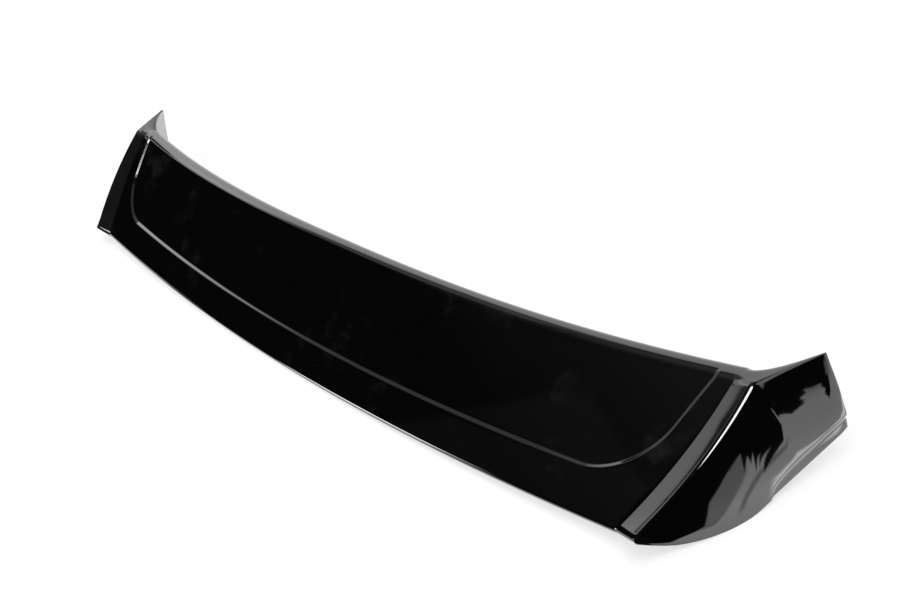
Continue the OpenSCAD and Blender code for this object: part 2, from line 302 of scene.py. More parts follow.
LIP_ROWS = 30
ROWS = (
    [Row("lip", p) for p in steps(LIP_ROWS, 1.0, 0.0)]
    + [Row("strip", p) for p in steps(10)]
    + [Row("step", p) for p in steps(9, -1.0, 1.0)]
    + [Row("corner", p) for p in steps(30)]
    + [Row("far", p) for p in steps(12, closed=True)]
    + [Row("roll", p) for p in steps(20, closed=True)[1:]]
)
COLUMNS = (
    [("field", p) for p in steps(44)]
    + [("corner", p) for p in steps(30)]
    + [("step", p) for p in steps(9, -1.0, 1.0)]
    + [("beside", p) for p in steps(6)]
    + [("facet", p) for p in steps(12, 0.0, FACET_END, closed=True)]
    + [("round", p) for p in steps(5, 0.0, 0.5, closed=True)]
)
EAR_LINES = (
    [("round", p) for p in steps(5, 0.5, 1.0)]
    + [("side", p) for p in steps(10, EAR_START, EAR_MIDDLE)]
    + [("side", p) for p in steps(15, EAR_MIDDLE, 1.0, closed=True)]
)


class ShellForm:
    """The shell's outer skin from the named sizes, with the rims' straight parts level."""

    def __init__(self, settings):
        self.deck = deck = settings.deck
        self.recess = settings.recess
        self.facet = facet = settings.facet
        self.edge = edge = settings.edge
        self.ear = ear = settings.ear
        depth = settings.overall.depth
        tip_y = depth / 2
        self.deck_rear_y = -depth / 2 + edge.lip_r * (1 - math.sin(deck.slope))
        self.rim_front_y = tip_y - ear.corner_setback
        self.rim_bend_y = self.rim_front_y - ear.straight
        self.rim_rear_y = self.deck_rear_y + deck.rear_bow - edge.lip_r
        self.rim_bend_x = settings.overall.half_span - ear.flare * ear.straight
        self.ridge_end = self.deck_base(facet.ridge_front_x, 1.0, 1.0)
        self.tip = Vector((ear.tip_x, tip_y, ear.tip_z))

    def rear_edge(self, x):
        bow = (x / self.facet.crease_rear_x) ** 2
        return Vector((
            x,
            self.deck_rear_y + self.deck.rear_bow * bow,
            self.deck.rear_z + self.deck.rear_lift * bow,
        ))

    def front_edge(self, x):
        deck = self.deck
        out = x / self.facet.crease_front_x
        return Vector((
            x,
            self.deck_rear_y
            + deck.chord * math.cos(deck.slope)
            + deck.front_bow * out ** BOW_POWER,
            deck.rear_z + deck.chord * math.sin(deck.slope) + deck.front_lift * out ** 2,
        ))

    def slope_at(self, x):
        run = self.front_edge(x) - self.rear_edge(x)
        return math.atan2(run.z, run.y)

    def chord_at(self, x):
        return (self.front_edge(x) - self.rear_edge(x)).length

    def crease_x(self, s):
        facet = self.facet
        return lerp(facet.crease_rear_x, facet.crease_front_x, s) + facet.crease_bow * arch(s)

    def ridge_x(self, s):
        facet = self.facet
        return lerp(facet.ridge_rear_x, facet.ridge_front_x, s) + facet.ridge_bow * arch(s)

    def side_x(self, s):
        return lerp(self.recess.rear_x, self.recess.front_x, s)

    def step_share(self, x):
        recess = self.recess
        return (recess.setback + recess.setback_gain * (x / recess.rear_x) ** 2) / self.chord_at(x)

    def sunk_at(self, x, s):
        """Depth of the sunk field: two straight runs and a round corner."""
        r = self.recess.corner_r
        side = self.side_x(s) - x
        back = (s - self.step_share(x)) * self.chord_at(x)
        if side < r and back < r:
            inside = r - math.hypot(max(r - side, 0.0), max(r - back, 0.0))
        else:
            inside = min(side, back)
        return self.recess.depth * smooth(inside / self.recess.step + 0.5)

    def deck_base(self, x, s, f):
        """Point of the deck at the share s of its chord, or of the facet at its share f."""
        facet = self.facet
        base = self.rear_edge(x).lerp(self.front_edge(x), s)
        base.z += self.deck.crown * arch(s)
        base.y -= f * facet.sweep * (1 - s) ** 2
        base.z += f * lerp(facet.rear_rise, facet.front_rise, s)
        return base

    def deck_normal(self, x, down):
        a = self.slope_at(x) - down
        return Vector((0.0, -math.sin(a), math.cos(a)))

    def column_x(self, column, s):
        zone, place = column
        half_step = self.recess.step / 2
        inner = self.side_x(s) - half_step - self.recess.corner_r
        if zone == "field":
            return inner * place
        if zone == "corner":
            return inner + self.recess.corner_r * place
        if zone == "step":
            return self.side_x(s) + half_step * place
        if zone == "beside":
            return lerp(self.side_x(s) + half_step, self.crease_x(s), place)
        return lerp(self.crease_x(s), self.ridge_x(s), place)

    def row_share(self, row, x):
        """Share of the chord at which a row crosses the deck near x."""
        chord = self.chord_at(x)
        mid = self.step_share(x)
        half_step = self.recess.step / 2 / chord
        ring = mid + half_step + self.recess.corner_r / chord
        if row.zone == "lip":
            return 0.0
        if row.zone == "strip":
            return (mid - half_step) * row.place
        if row.zone == "step":
            return mid + half_step * row.place
        if row.zone == "corner":
            return lerp(mid + half_step, ring, row.place)
        if row.zone == "far":
            return lerp(ring, 1.0, row.place)
        return 1.0

    def lip_offset(self, x, place):
        """From the deck's rear edge round the lip's arc, and down its short drop."""
        edge = self.edge
        slope = self.slope_at(x)
        down = slope + (math.pi / 2 - slope) * min(place / ARC_SHARE, 1.0)
        below = max(place - ARC_SHARE, 0.0) / (1 - ARC_SHARE)
        drop = (edge.lip_h - edge.lip_r * math.cos(slope)) * below
        round_lip = edge.lip_r * Vector((0.0, -math.sin(down), math.cos(down)))
        return round_lip - edge.lip_r * self.deck_normal(x, 0.0) - drop * UP

    def roll_offset(self, x, place):
        """From the deck's front edge round the roll's arc, and along its flange."""
        down = self.edge.roll_turn * min(place / TURN_SHARE, 1.0)
        normal = self.deck_normal(x, down)
        along = Vector((0.0, normal.z, -normal.y))
        flange = self.edge.flange * max(place - TURN_SHARE, 0.0) / (1 - TURN_SHARE)
        return self.edge.roll_r * (normal - self.deck_normal(x, 0.0)) + flange * along

    def brow_offset(self, place):
        return (self.tip - self.ridge_end) * place

    def bent(self, x, s):
        """A grid point bent round the recess's corner, so that the lines follow its step."""
        r = self.recess.corner_r
        chord = self.chord_at(x)
        setback = self.step_share(x) * chord
        across = 1 - (self.side_x(s) - x) / r
        back = 1 - (s * chord - setback) / r
        if across <= 0 or back <= 0:
            return x, s
        ring = max(across, back)
        along = min(across, back) / ring
        major = ring * math.sqrt(1 - along * along / 2)
        minor = ring * along / math.sqrt(2)
        arc = (major, minor) if across > back else (minor, major)
        step_ring = 1 + self.recess.step / 2 / r
        crease_ring = 1 + (self.crease_x(s) - self.side_x(s)) / r
        rear_ring = 1 + setback / r
        hold = clamp((crease_ring - across) / (crease_ring - step_ring)) * clamp(
            (rear_ring - back) / (rear_ring - step_ring)
        )
        place_across = lerp(across, arc[0], hold)
        place_back = lerp(back, arc[1], hold)
        bent_s = (setback + (1 - place_back) * r) / chord
        return self.side_x(bent_s) - (1 - place_across) * r, bent_s

    def skin_point(self, column, row):
        """Point of the deck, facet, lip or roll on a column's line and a row's line."""
        s = self.row_share(row, self.column_x(column, 0.5))
        x = self.column_x(column, s)
        x, s = self.bent(x, s)
        f = column[1] if column[0] == "facet" else 0.0
        base = self.deck_base(x, s, f)
        if row.zone == "lip":
            return base + self.lip_offset(x, row.place)
        if row.zone == "roll":
            down = self.edge.roll_turn * min(row.place / TURN_SHARE, 1.0)
            sunk = (1 - smooth(row.place / RECESS_FADE)) * self.sunk_at(x, 1.0)
            return (
                base
                + (1 - f) ** BLEND_POWER * self.roll_offset(x, row.place)
                + f ** BLEND_POWER * self.brow_offset(row.place)
                - sunk * self.deck_normal(x, down)
            )
        return base - self.sunk_at(x, s) * self.deck_normal(x, 0.0)

    def ridge_point(self, row):
        """Point of the ridge in a row, sharp, before it is rounded."""
        s = self.row_share(row, self.ridge_x(0.5))
        x = self.ridge_x(s)
        base = self.deck_base(x, s, 1.0)
        if row.zone == "lip":
            return base + self.lip_offset(x, row.place)
        if row.zone == "roll":
            return base + self.brow_offset(row.place)
        return base

    def rim_at(self, y):
        """The ear's rim: straight on the floor, then bending in and up to the lip."""
        ear = self.ear
        run = self.rim_bend_y - self.rim_rear_y
        back = max(self.rim_bend_y - y, 0.0) / run
        bend = self.rim_bend_x - ear.rear_x - ear.flare * run
        rise = (ear.rear_z - ear.kick) * back ** RISE_POWER + ear.kick * back ** KICK_POWER
        straight_x = self.rim_bend_x + ear.flare * (y - self.rim_bend_y)
        return Vector((straight_x - bend * back ** 2, y, rise))

    def rim_y(self, row):
        under_ridge = self.ridge_end.y - self.ear.corner_setback * UNDER_SHARE
        if row.zone == "roll":
            return lerp(under_ridge, self.rim_front_y, row.place)
        s = self.row_share(row, self.ridge_x(0.5))
        return lerp(self.rim_rear_y, under_ridge, s ** SPREAD_POWER)

    def band_top(self, y):
        ear = self.ear
        t = clamp((y - (self.rim_front_y - ear.band_length)) / ear.band_run)
        return ear.band_h * math.sqrt(1 - (1 - t) ** 2)

    def side_point(self, row, e):
        """Point of the ear's side at the share e of the way from the ridge to the rim."""
        ear = self.ear
        top = self.ridge_point(row)
        foot = self.rim_at(self.rim_y(row))
        flat = top.lerp(foot, e)
        s = self.row_share(row, self.ridge_x(0.5))
        line = self.band_top(flat.y)
        over = line - (1 - e) * (top - foot).length
        sunk = ear.band_depth * smooth(line / ear.band_step) * smooth(over / ear.band_step + 0.5)
        front = clamp(1 - (1 - row.place) / CURL_SHARE) if row.zone == "roll" else 0.0
        flat.x += ear.bulge * arch(e) * smooth(s) - sunk - ear.front_curl * front ** 2
        flat.x += self.corner_fill(top.y) * (1 - e) * (1 - (1 - e) ** FILL_POWER)
        return flat

    def corner_fill(self, y):
        """What rounds off, below the ridge, the corner where the ridge turns into the brow."""
        brow = self.tip - self.ridge_end
        reach = FILL_SHARE * brow.y
        left = max(1 - abs(y - self.ridge_end.y) / reach, 0.0)
        return brow.x / brow.y * reach / 4 * left ** 2

    def round_point(self, row, t):
        """The rounded ridge: a curve tangent to the facet and to the ear's side."""
        top = self.ridge_point(row)
        inward = self.skin_point(("facet", FACET_END), row) - top
        down = self.side_point(row, EAR_START) - top
        left = lerp(1.0, TIP_ROUND, row.place) if row.zone == "roll" else 1.0
        rounding = self.facet.rounding
        a = top + left * min(rounding, inward.length * ROUND_SHARE) * inward.normalized()
        b = top + left * min(rounding, down.length * ROUND_SHARE) * down.normalized()
        return a * (1 - t) ** 2 + top * 2 * t * (1 - t) + b * t ** 2

    def deck_point(self, column, row):
        """Point of the deck's grid; its last columns are half of the ridge's rounding."""
        if column[0] != "round":
            return self.skin_point(column, row)
        if row.zone != "lip":
            return self.round_point(row, column[1])
        top = Row("strip", 0.0)
        edge = self.skin_point(("facet", FACET_END), row)
        sharp = edge.lerp(self.ridge_point(row), lerp(FIRST_EDGE_STEP, 1.0, column[1] / 0.5))
        rounded = self.round_point(top, column[1]) + self.ridge_point(row) - self.ridge_point(top)
        return rounded.lerp(sharp, smooth(row.place / ARC_SHARE))

    def ear_point(self, number, row):
        """Point of the ear's grid; its rear end runs down the lip's profile."""
        profile = self.deck_point(COLUMNS[-1], Row("lip", number / LIP_ROWS))
        s = self.row_share(row, self.ridge_x(0.5))
        zone, place = EAR_LINES[number]
        point = self.round_point(row, place) if zone == "round" else self.side_point(row, place)
        return profile.lerp(point, smooth(s / REAR_BLEND) if number else 1.0 if s > 0 else 0.0)


def lay_grid(bm, column_count, row_count, place):
    """A flat grid whose points are moved to place(column, row); returns its points."""
    made = bmesh.ops.create_grid(
        bm, x_segments=column_count - 1, y_segments=row_count - 1, size=0.5
    )
    for vert in made["verts"]:
        column = round((vert.co.x + 0.5) * (column_count - 1))
        row = round((vert.co.y + 0.5) * (row_count - 1))
        vert.co = place(column, row)
    return made["verts"]


def rest_turn(points, lip_foot):
    """Turn about X that levels the lowest point of the rims with the lip's middle."""
    return min(math.atan2(p.z - lip_foot.z, p.y - lip_foot.y) for p in points)


def build_shell(settings):
    """The moulded shell as a bmesh: outer skin, mirrored, given its wall and laid down."""
    form = ShellForm(settings)
    bm = bmesh.new()
    rim_tag = bm.verts.layers.int.new("rim")

    lay_grid(bm, len(COLUMNS), len(ROWS), lambda c, r: form.deck_point(COLUMNS[c], ROWS[r]))
    ear_rows = ROWS[LIP_ROWS:]
    ear = lay_grid(
        bm, len(EAR_LINES), len(ear_rows), lambda c, r: form.ear_point(c, ear_rows[r])
    )
    last = len(EAR_LINES) - 1
    rim_points = [form.ear_point(last, row) for row in ear_rows]
    for vert in ear:
        if any((vert.co - p).length_squared < RIM_NEAR ** 2 for p in rim_points):
            vert[rim_tag] = 1
    lip_foot = form.deck_point(COLUMNS[0], ROWS[0])

    bmesh.ops.remove_doubles(bm, verts=bm.verts[:], dist=MERGE)
    bmesh.ops.mirror(
        bm,
        geom=bm.verts[:] + bm.edges[:] + bm.faces[:],
        matrix=Matrix.Identity(4),
        merge_dist=MERGE,
        axis="X",
    )
    bmesh.ops.recalc_face_normals(bm, faces=bm.faces[:])
    bm.normal_update()
    highest = max(bm.verts, key=lambda v: v.co.z)
    if highest.normal.z < 0:
        bmesh.ops.reverse_faces(bm, faces=bm.faces[:])
        bm.normal_update()

    give_wall(bm, settings.overall.wall, rim_tag)
    soften_edges(bm, settings.overall.edge_round)
    lay_down(bm, rest_turn(rim_points, lip_foot))
    bmesh.ops.scale(bm, vec=FIT_INSIDE_CAD, verts=bm.verts)
    return bm


def give_wall(bm, wall, rim_tag):
    """An inner skin one wall inside the outer one, joined to it along the free edge."""
    outer_rim = [e for e in bm.edges if e.is_boundary]
    copy = bmesh.ops.duplicate(bm, geom=bm.verts[:] + bm.edges[:] + bm.faces[:])
    twin = copy["vert_map"]
    inner_verts = [g for g in copy["geom"] if isinstance(g, bmesh.types.BMVert)]
    inner_faces = [g for g in copy["geom"] if isinstance(g, bmesh.types.BMFace)]
    moves = []
    for vert in inner_verts:
        inward = -twin[vert].normal
        if vert[rim_tag]:
            inward = Vector((inward.x, inward.y, 0.0)).normalized()
        moves.append(inward * wall)
    for vert, move in zip(inner_verts, moves):
        vert.co = vert.co + move
    bmesh.ops.reverse_faces(bm, faces=inner_faces)
    for face in inner_faces:
        face.material_index = 1
    inner_rim = [e for e in bm.edges if e.is_boundary and e not in set(outer_rim)]
    strip = bmesh.ops.bridge_loops(bm, edges=outer_rim + inner_rim)["faces"]
    if not strip:
        raise RuntimeError("the shell's two skins didn't join")
    for face in strip:
        face.material_index = 0
    if not all(e.is_contiguous for f in strip for e in f.edges):
        bmesh.ops.reverse_faces(bm, faces=strip)


def soften_edges(bm, width):
    """A small rounding along both sides of the free edge."""
    bm.normal_update()
    sharp = [e for e in bm.edges if e.is_manifold and e.calc_face_angle() > SHARP_ANGLE]
    bmesh.ops.bevel(
        bm,
        geom=sharp,
        offset=width,
        offset_type="OFFSET",
        segments=2,
        profile=0.5,
        affect="EDGES",
        clamp_overlap=True,
        material=-1,
    )


def lay_down(bm, angle):
    """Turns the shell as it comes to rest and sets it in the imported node's box."""
    bmesh.ops.rotate(
        bm, verts=bm.verts[:], cent=(0, 0, 0), matrix=Matrix.Rotation(-angle, 3, "X")
    )
    low, high = (Vector(c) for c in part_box(SHELL_NODE))
    ys = [v.co.y for v in bm.verts]
    zs = [v.co.z for v in bm.verts]
    shift = Vector((0.0, (low.y + high.y - min(ys) - max(ys)) / 2, low.z - min(zs)))
    bmesh.ops.translate(bm, verts=bm.verts[:], vec=shift)


class Signal:
    """A node's output that takes part in Python expressions by adding Math nodes."""

    def __init__(self, board, socket):
        self.board = board
        self.socket = socket

    def maths(self, operation, *others):
        return self.board.node(
            "ShaderNodeMath", {"operation": operation}, dict(enumerate((self,) + others))
        )

    def __add__(self, other):
        return self.maths("ADD", other)

    def __radd__(self, other):
        return self.maths("ADD", other)

    def __sub__(self, other):
        return self.maths("SUBTRACT", other)

    def __rsub__(self, other):
        return self.board.node(
            "ShaderNodeMath", {"operation": "SUBTRACT"}, {0: other, 1: self}
        )

    def __mul__(self, other):
        return self.maths("MULTIPLY", other)

    def __rmul__(self, other):
        return self.maths("MULTIPLY", other)

    def __truediv__(self, other):
        return self.maths("DIVIDE", other)

    def most(self, other):
        return self.maths("MAXIMUM", other)

    def beyond(self, limit, edge):
        """0 below the limit, 1 above it, with a soft edge on both sides."""
        return (self - limit).between(-edge, edge)

    def clamp(self):
        return self.board.node(
            "ShaderNodeClamp", {}, {"Value": self, "Min": 0.0, "Max": 1.0}, "Result"
        )

    def between(self, low, high):
        """0 at low, 1 at high, with a soft passage."""
        return self.board.node(
            "ShaderNodeMapRange",
            {"interpolation_type": "SMOOTHSTEP"},
            {"Value": self, "From Min": low, "From Max": high},
            "Result",
        )

    def out(self, name):
        return Signal(self.board, self.socket.node.outputs[name])


class Board:
    """A node tree that is written as expressions."""

    def __init__(self, tree):
        self.tree = tree
        tree.nodes.clear()

    def node(self, kind, settings=None, inputs=None, output=0):
        node = self.tree.nodes.new(kind)
        for name, value in (settings or {}).items():
            if name == "stops":
                self.set_stops(node.color_ramp, value)
            else:
                setattr(node, name, value)
        for name, value in (inputs or {}).items():
            if isinstance(value, Signal):
                self.tree.links.new(value.socket, node.inputs[name])
            else:
                node.inputs[name].default_value = value
        return Signal(self, node.outputs[output]) if node.outputs else node

    def set_stops(self, ramp, stops):
        while len(ramp.elements) > 1:
            ramp.elements.remove(ramp.elements[-1])
        for number, (place, color) in enumerate(stops):
            stop = ramp.elements[0] if number == 0 else ramp.elements.new(place)
            stop.position = place
            stop.color = color

    def mix(self, factor, a, b):
        """Colour a where factor is 0, b where it is 1."""
        return self.node(
            "ShaderNodeMix", {"data_type": "RGBA"}, {0: factor, 6: a, 7: b}, 2
        )

    def noise(self, place, scale, detail=2.0, roughness=0.5):
        return self.node(
            "ShaderNodeTexNoise",
            {},
            {"Vector": place, "Scale": scale, "Detail": detail, "Roughness": roughness},
            "Fac",
        )

    def curve(self, signal, points):
        """Straight lines through points, each an input and its output."""
        first, last = points[0][0], points[-1][0]
        low = min(y for x, y in points)
        rise = max(y for x, y in points) - low
        stops = [
            ((x - first) / (last - first), ((y - low) / rise,) * 3 + (1.0,)) for x, y in points
        ]
        along = (signal - first) / (last - first)
        level = self.node("ShaderNodeValToRGB", {"stops": stops}, {"Fac": along}, "Color")
        return level * rise + low

    def place(self):
        return self.node("ShaderNodeTexCoord", {}, {}, "Object")

    def axes(self, vector):
        split = self.node("ShaderNodeSeparateXYZ", {}, {"Vector": vector}, "X")
        return split, split.out("Y"), split.out("Z")


def color4(color):
    return (*color, 1.0)


def new_material(name):
    material = bpy.data.materials.new(name)
    material.use_nodes = True
    return material, Board(material.node_tree)


SMEAR_NOISE = {"scale": 16.0, "detail": 5.0, "roughness": 0.62}
FILM_NOISE = {"scale": 26.0, "detail": 5.0, "roughness": 0.7}
SMEAR_LIMITS = (0.57, 0.8)
FILM_LIMITS = (0.35, 0.8)
SPECK_LIMITS = (0.75, 0.8)
FILM_DUST, SMEAR_DUST, SPECK_DUST = 0.0015, 0.04, 0.06
FILM_ROUGH, SMEAR_ROUGH, SPECK_ROUGH = 0.02, 0.05, 0.3
PLASTIC_IOR = 1.5
COAT_ROUGHNESS = 0.02
GRAIN_SCALE = 900.0
CLOUD_SCALE = 18.0
GRAIN_DEPTH = 0.00008


def paint_gloss_black(paint):
    """Gloss black paint: faint orange peel, thin dust, a few smears, in a clear coat."""
    material, board = new_material("gloss_black_paint")
    place = board.place()
    peel = board.noise(place, 1.0 / paint.peel_width, detail=1.0)
    smear = board.noise(place, **SMEAR_NOISE).between(*SMEAR_LIMITS)
    specks = board.noise(place, 1.0 / paint.speck_width, detail=3.0, roughness=0.65)
    film = board.noise(place, **FILM_NOISE).between(*FILM_LIMITS)
    speck = specks.between(*SPECK_LIMITS)
    dust = (film * FILM_DUST + smear * SMEAR_DUST + speck * SPECK_DUST).clamp()
    color = board.mix(dust, color4(paint.black), color4(paint.dust))
    rough = (film * FILM_ROUGH + smear * SMEAR_ROUGH + speck * SPECK_ROUGH + paint.gloss).clamp()
    bump = board.node(
        "ShaderNodeBump",
        {},
        {"Strength": 1.0, "Distance": paint.peel, "Height": peel},
        "Normal",
    )
    shader = board.node(
        "ShaderNodeBsdfPrincipled",
        {},
        {
            "Base Color": color,
            "Roughness": rough,
            "IOR": PLASTIC_IOR,
            "Coat Weight": 1.0,
            "Coat Roughness": COAT_ROUGHNESS,
            "Coat IOR": PLASTIC_IOR,
            "Normal": bump,
        },
        "BSDF",
    )
    board.node("ShaderNodeOutputMaterial", {}, {"Surface": shader})
    return material


def paint_inside(paint):
    """The unpainted inner face: pale moulded plastic with a fine grain."""
    material, board = new_material("pale_moulded_inside")
    place = board.place()
    grain = board.noise(place, GRAIN_SCALE)
    cloud = board.noise(place, CLOUD_SCALE, detail=3.0)
    inside = Vector(paint.inside)
    color = board.mix(cloud, color4(inside * 0.9), color4(inside * 1.08))
    bump = board.node(
        "ShaderNodeBump", {}, {"Strength": 0.5, "Distance": GRAIN_DEPTH, "Height": grain}, "Normal"
    )
    shader = board.node(
        "ShaderNodeBsdfPrincipled",
        {},
        {
            "Base Color": color,
            "Roughness": (0.42 + grain * 0.16).clamp(),
            "Normal": bump,
        },
        "BSDF",
    )
    board.node("ShaderNodeOutputMaterial", {}, {"Surface": shader})
    return material


class SPOILER_OT_shell(bpy.types.Operator):
    """Model the moulded shell in gloss black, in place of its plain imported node"""

    bl_idname = "spoiler.shell"
    bl_label = "Moulded Shell"
    bl_options = {"REGISTER", "UNDO"}

    def execute(self, context):
        settings = context.scene.spoiler
        bm = build_shell(settings)
        mesh = bpy.data.meshes.new("moulded_shell")
        bm.to_mesh(mesh)
        bm.free()
        mesh.shade_smooth()
        mesh.materials.append(paint_gloss_black(settings.paint))
        mesh.materials.append(paint_inside(settings.paint))
        shell = bpy.data.objects.new("moulded_shell", mesh)
        context.scene.collection.objects.link(shell)
        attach(shell, "root")
        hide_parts(SHELL_NODE)
        return {"FINISHED"}


# The studio in the gloss. On the floor, the bearing is in degrees round the point below, and
# the distance from it counts on a logarithmic scale. In the air, directions are in degrees.
# Each curve is a row of points, each an input and its output.
SWEEP_X = 0.5
SWEEP_NEAR = 0.02
SWEEP_SCALE = 40.0
SWEEP_BORDER = (
    (-68, -75), (-46, -54), (-45, -47), (-43, -41), (-41, -34), (-39, -28), (-35, -24),
    (-30, -20), (-25, -13.5), (-20, -8), (-15, -3.6), (-12.5, -1.2), (80, -1.2),
)
BORDER_EDGE = 0.6
SWEEP_SHADE = (
    (-68, -75), (-45, -60), (-40, -28), (-39, -23), (-36, -17), (-33, -12), (-29, -6),
    (-25, -3), (-12, -1.2), (80, -1.2),
)
SHADE_EDGE = 1.2
SHADE_DEPTH = 0.5
SWEEP_FOLDS = (
    (-4.1, 60), (-3.8, -25), (-2.0, -18), (-1.1, -23), (-0.3, -18), (0.4, -27), (1.2, -20),
    (1.7, -26), (2.2, -20), (3.3, -29), (4.0, -26), (5.2, -18), (7.0, -11), (8.5, -6),
    (9.6, -4), (10.0, 60),
)
FOLDS_EDGE = 0.7
BAND_LOW = (
    (-68, 5.5), (-14, 5.5), (-10, 4.8), (-5, 3.2), (0, 2.0), (7, 0.2), (18, -1.4),
    (30, -2.0), (80, -2.0),
)
BAND_HIGH = (
    (-68, 8.5), (-10, 8.5), (-6, 6.5), (-3, 4.6), (0, 3.7), (6, 2.9), (10, 1.9), (14, 0.6),
    (18, 0.3), (30, -0.4), (80, -0.8),
)
BAND_EDGES = (0.3, 0.2)
BAND_START = (-12.0, 1.0)
RIPPLE_SCALE = 5.0
RIPPLE_WIDTH = 1.6
STROKE_START = -26.0
STROKE_SLOPE = 1.17
STROKE_BEARING = 4.0
STROKE_FADE = (0.4, 2.6)
STROKE_FROM = (-37.0, 2.0)
STROKE_TO = (-22.0, 3.0)
STROKE_DEPTH = 0.5
STEP_GLOW = ((-80, -35), (8, -34), (14, -30.5), (18, -27), (35, -25), (80, -25))
STEP_FADE = (1.6, 3.2)
STEP_FROM = (7.0, 2.0)
STEP_LIGHT = 2.6
SWEEP_LIGHT = (
    (-68, 0.65), (-48, 0.7), (-44, 1.5), (-34, 1.9), (-28, 1.6), (-15, 1.4), (0, 1.4),
    (20, 1.0), (80, 0.8),
)
LIP_LIGHT_Y = (-0.15, 0.01)
LIP_LIGHT_X = (0.55, 0.01)
LIP_LIGHT = 0.9


def sweep_in_gloss(board, place):
    """Light of the white sweep in the gloss: its jagged border, folds and shade, by the
    bearing in degrees from a point under the ear and the logarithm of the distance."""
    x, y, _ = board.axes(place)
    beside = x - SWEEP_X
    bearing = y.maths("ARCTAN2", beside) * DEGREE
    away = beside.most(SWEEP_NEAR).maths("LOGARITHM", 10.0) * SWEEP_SCALE
    low = (bearing - board.curve(away, SWEEP_BORDER)).beyond(0.0, BORDER_EDGE)
    folds = (away - board.curve(bearing, SWEEP_FOLDS)).beyond(0.0, FOLDS_EDGE)
    ripple = (board.noise(place, RIPPLE_SCALE, detail=3.0) - 0.5) * RIPPLE_WIDTH
    band = (bearing - board.curve(away, BAND_LOW)).beyond(0.0, BAND_EDGES[0])
    band = band * away.beyond(*BAND_START)
    past_band = bearing - board.curve(away, BAND_HIGH) + ripple
    band = band * (1.0 - past_band.beyond(0.0, BAND_EDGES[1]))
    shade = 1.0 - (bearing - board.curve(away, SWEEP_SHADE)).beyond(0.0, SHADE_EDGE)
    off_stroke = bearing - (away - STROKE_START) * STROKE_SLOPE - STROKE_BEARING
    stroke = 1.0 - off_stroke.maths("ABSOLUTE").between(*STROKE_FADE)
    stroke = stroke * away.beyond(*STROKE_FROM) * (1.0 - away.beyond(*STROKE_TO))
    near_step = (away - board.curve(bearing, STEP_GLOW)).maths("ABSOLUTE")
    step_glow = (1.0 - near_step.between(*STEP_FADE)) * bearing.beyond(*STEP_FROM)
    light = board.curve(away, SWEEP_LIGHT) + step_glow * STEP_LIGHT
    shown = low * (1.0 - folds * (1.0 - band))
    under_lip = y.beyond(*LIP_LIGHT_Y) * (1.0 - x.beyond(*LIP_LIGHT_X)) * (1.0 - low)
    dimmed = (1.0 - shade * SHADE_DEPTH) * (1.0 - stroke * STROKE_DEPTH)
    return light * shown * dimmed + under_lip * LIP_LIGHT


FLOOR_GLOW = 0.6


def build_floor(stage):
    """A pale floor: white to the camera with the object's shadow, and in the gloss a dark
    floor with a fitted white sweep beside the object."""
    bm = bmesh.new()
    bmesh.ops.create_grid(bm, x_segments=8, y_segments=8, size=stage.floor_size / 2)
    mesh = bpy.data.meshes.new("studio_floor")
    bm.to_mesh(mesh)
    bm.free()
    material, board = new_material("pale_studio_floor")
    path = board.node("ShaderNodeLightPath", {}, {}, "Is Camera Ray")
    sheet = board.node(
        "ShaderNodeBsdfDiffuse", {}, {"Color": color4(stage.floor), "Roughness": 1.0}, "BSDF"
    )
    glow = board.node("ShaderNodeEmission", {}, {"Color": WHITE, "Strength": 1.0}, "Emission")
    sweep = sweep_in_gloss(board, board.place()) * stage.sweep_light + stage.room_light
    mirrored = board.node("ShaderNodeEmission", {}, {"Color": WHITE, "Strength": sweep}, "Emission")
    shown = board.node(
        "ShaderNodeMixShader", {}, {0: path * FLOOR_GLOW, 1: sheet, 2: glow}, "Shader"
    )
    shown = board.node(
        "ShaderNodeMixShader", {}, {0: path.out("Is Glossy Ray"), 1: shown, 2: mirrored}, "Shader"
    )
    board.node("ShaderNodeOutputMaterial", {}, {"Surface": shown})
    mesh.materials.append(material)
    floor = bpy.data.objects.new("studio_floor", mesh)
    bpy.context.scene.collection.objects.link(floor)


WALL_TOP = ((-62, 47), (-45, 52), (-30, 62), (90, 62))
WALL_TOP_EDGE = 2.0
WALL_LEFT = (-60.0, 4.0)
WALL_RIGHT = ((-30, 84), (13, 84), (18, 88), (60, 90))
WALL_RIGHT_EDGE = 0.8
WALL_LIGHT = ((-30, 0.45), (0, 0.6), (30, 1.15), (60, 1.3))
SIDE_START = (
    (10, -89.6), (16.1, -92.05), (28, -96.9), (30.1, -97.3), (36, -98.2), (60, -98.4),
)
SIDE_GAP = (0.8, 0.1)
SIDE_BOTTOM = ((-99, 21.5), (-96, 26), (-91, 28), (-79, 27.5), (-75, 20), (-66, 10), (-60, 0))
SIDE_BOTTOM_EDGE = 0.4
SIDE_LIGHT = ((0, 1.0), (31, 1.1), (32.5, 1.0), (36, 0.24), (60, 0.2))
STRIP_FROM = (-2.4, 0.1)
STRIP_TO = (0.0, 0.08)
STRIP_LEFT = (-98.2, 0.1)
STRIP_BOTTOM = (12.0, 0.4)
STRIP_TOP = (33.0, 0.5)
CEILING_LIGHT = ((37, 0), (43, 0.045), (48, 0.08), (56, 0.2), (70, 0.25))
CEILING_PASSAGE = (-128.0, -98.0)
CEILING_SHARE = 0.3

